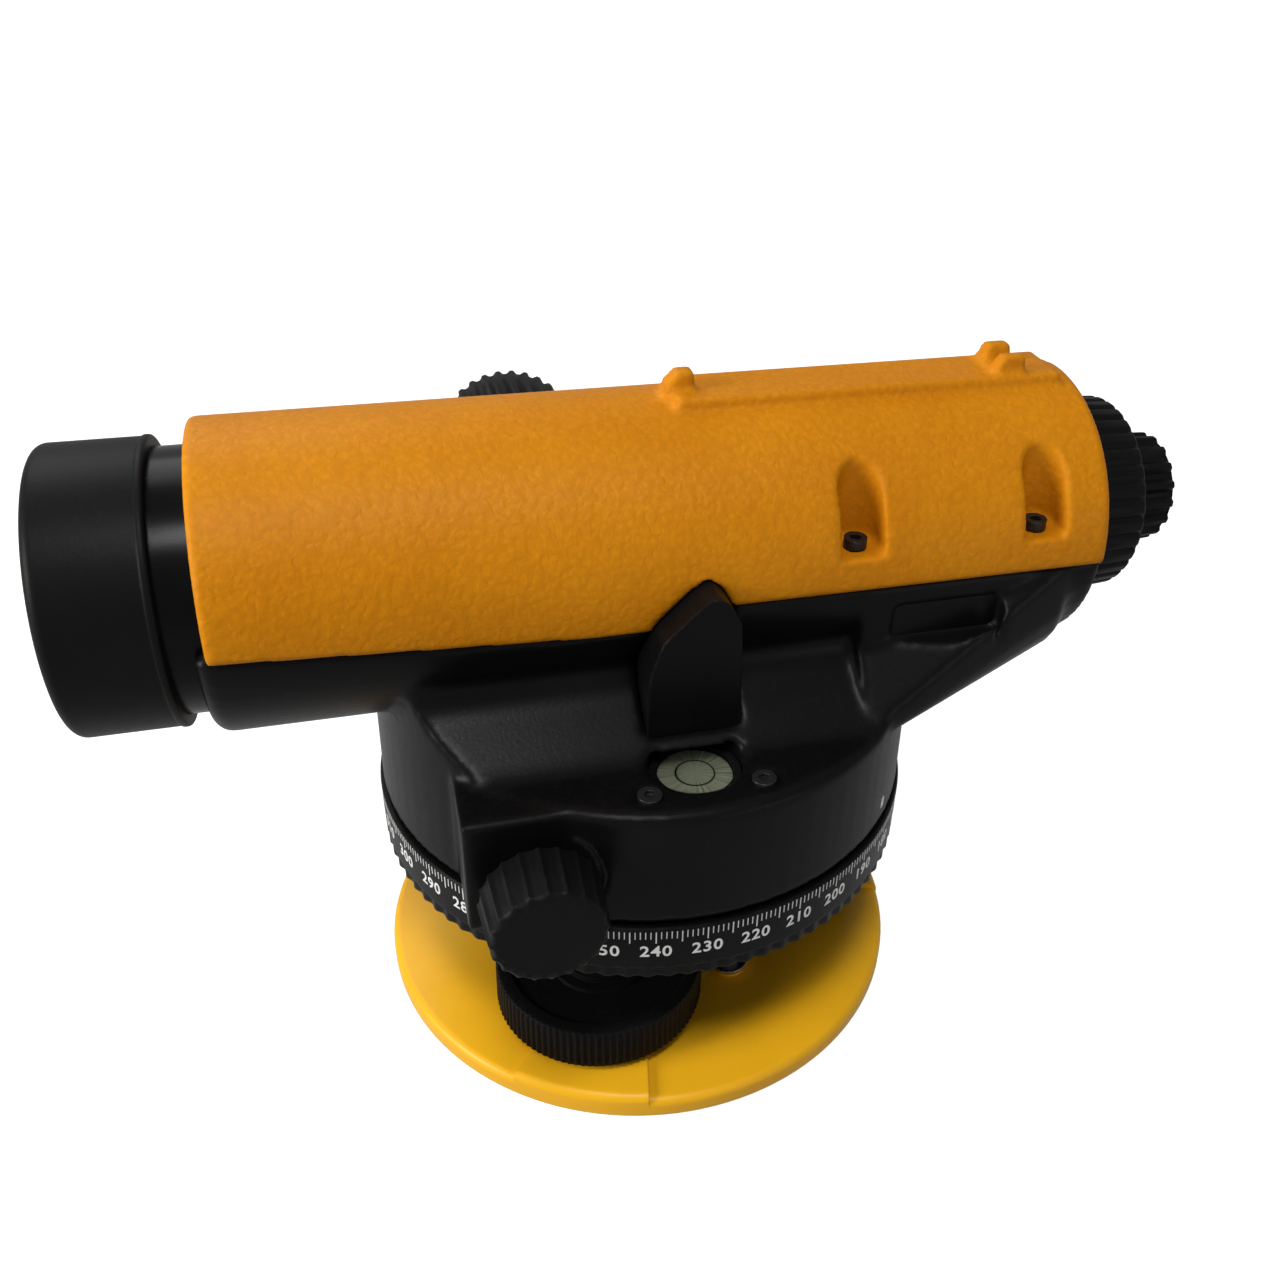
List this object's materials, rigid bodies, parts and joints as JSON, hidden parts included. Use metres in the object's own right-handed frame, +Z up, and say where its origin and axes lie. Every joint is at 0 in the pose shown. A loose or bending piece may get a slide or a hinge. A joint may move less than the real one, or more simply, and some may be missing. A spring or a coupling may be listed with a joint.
{
  "type": "automatic optical level",
  "caption": "Automatic optical level: telescope with compensator on a turning drum with a degree circle and circular bubble, on a base with foot screws and a tripod thread.",
  "frame": {"origin": "centre of the tripod thread on the underside of the base plate", "axes": "+Z up along the vertical axis, +X along the line of sight out of the objective, +Y to the observer's left, where the circular bubble is"},
  "size_m": [0.2264, 0.1316, 0.1432],
  "materials": {
    "yellow_cover_paint": "wrinkle paint",
    "yellow_base_paint": "smooth semi-gloss paint",
    "black_body_paint": "satin paint",
    "black_plastic": "satin moulded",
    "anodised_black": "black anodised",
    "bare_aluminium": "machined",
    "steel": "bright turned",
    "brass": "turned",
    "copper": "rolled sheet",
    "optical_glass": "polished",
    "vial_glass": "polished, over a pale green fluid",
    "index_white": "printed"
  },
  "bodies": {
    "base": {"base_plate": "yellow_base_paint", "spring_plate": "steel", "spring_plate_screws": "steel", "tribrach": "black_body_paint", "foot_bushes": "brass", "bearing_sleeve": "steel", "clutch_nut": "brass"},
    "foot_a": {"foot_spindle_a": "steel", "foot_wheel_a": "black_plastic"},
    "foot_b": {"foot_spindle_b": "steel", "foot_wheel_b": "black_plastic"},
    "foot_c": {"foot_spindle_c": "steel", "foot_wheel_c": "black_plastic"},
    "circle": {"horizontal_circle": "black_body_paint"},
    "clutch": {"worm_wheel": "brass", "clutch_spring": "steel"},
    "alidade": {"vertical_spindle": "steel", "spindle_nut": "brass", "main_housing": "black_body_paint", "bottom_cover": "black_body_paint", "bottom_cover_screws": "steel", "top_cover": "yellow_cover_paint", "cover_screws": "steel", "index_plate": "index_white", "label_plate": "black_body_paint", "viewer_housing": "black_body_paint", "viewer_prism": "optical_glass", "vial_holder": "black_plastic", "vial_glass": "vial_glass", "vial_screws": "steel", "objective_tube": "anodised_black", "objective_lens": "optical_glass", "objective_ring": "anodised_black", "focus_guide": "anodised_black", "compensator_frame": "bare_aluminium", "fixed_prisms": "optical_glass", "suspension_wires": "steel", "damper_magnets": "bare_aluminium", "eyepiece_sleeve": "anodised_black", "reticle_cell": "brass", "reticle_glass": "optical_glass", "reticle_screws": "steel", "reticle_cover": "black_plastic", "shaft_bushes": "brass"},
    "tangent": {"tangent_shaft": "steel", "tangent_worm": "steel", "tangent_knob_left": "black_plastic", "tangent_knob_right": "black_plastic"},
    "focus_drive": {"focus_shaft": "steel", "focus_knob": "black_plastic"},
    "focus_slide": {"focus_carrier": "brass", "focus_lens": "optical_glass", "focus_rack": "brass"},
    "pendulum": {"pendulum_cradle": "brass", "pendulum_prism": "optical_glass", "damper_vane": "copper"},
    "eyepiece": {"eyepiece_barrel": "anodised_black", "eyepiece_lenses": "optical_glass", "eyepiece_knob": "black_plastic"},
    "cap": {"lens_cap": "black_plastic"}
  },
  "joints": [
    {"name": "foot_a_turn", "type": "hinge", "parent": "base", "child": "foot_a", "pos_m": [0.016, 0.02771, 0.0134], "axis": [0, 0, 1], "range_deg": [-1440, 1440]},
    {"name": "foot_b_turn", "type": "hinge", "parent": "base", "child": "foot_b", "pos_m": [-0.032, 0, 0.0134], "axis": [0, 0, 1], "range_deg": [-1440, 1440]},
    {"name": "foot_c_turn", "type": "hinge", "parent": "base", "child": "foot_c", "pos_m": [0.016, -0.02771, 0.0134], "axis": [0, 0, 1], "range_deg": [-1440, 1440]},
    {"name": "circle_turn", "type": "hinge", "parent": "base", "child": "circle", "pos_m": [0, 0, 0.044], "axis": [0, 0, 1], "continuous": true},
    {"name": "coarse_turn", "type": "hinge", "parent": "base", "child": "clutch", "pos_m": [0, 0, 0.0663], "axis": [0, 0, 1], "continuous": true},
    {"name": "fine_turn", "type": "hinge", "parent": "clutch", "child": "alidade", "pos_m": [0, 0, 0.0663], "axis": [0, 0, 1], "continuous": true},
    {"name": "tangent_turn", "type": "hinge", "parent": "alidade", "child": "tangent", "pos_m": [0.032, 0, 0.0663], "axis": [0, 1, 0], "continuous": true},
    {"name": "focus_turn", "type": "hinge", "parent": "alidade", "child": "focus_drive", "pos_m": [0.0203, -0.04, 0.1082], "axis": [0, 1, 0], "range_deg": [-153, 153]},
    {"name": "focus_slide", "type": "slide", "parent": "alidade", "child": "focus_slide", "axis": [1, 0, 0], "range_m": [-0.008, 0.008]},
    {"name": "pendulum_swing", "type": "hinge", "parent": "alidade", "child": "pendulum", "pos_m": [-0.039, 0, 0.1216], "axis": [0, 1, 0], "range_deg": [-0.25, 0.25]},
    {"name": "eyepiece_turn", "type": "hinge", "parent": "alidade", "child": "eyepiece", "pos_m": [-0.11, 0, 0.1082], "axis": [1, 0, 0], "range_deg": [-180, 180]},
    {"name": "cap_pull", "type": "slide", "parent": "alidade", "child": "cap", "axis": [1, 0, 0], "range_m": [0, 0.025]}
  ],
  "couplings": [
    {"joint": "fine_turn", "follows": "tangent_turn", "ratio": 0.013889},
    {"joint": "focus_turn", "follows": "focus_slide", "rad_per_m": -333.33}
  ]
}
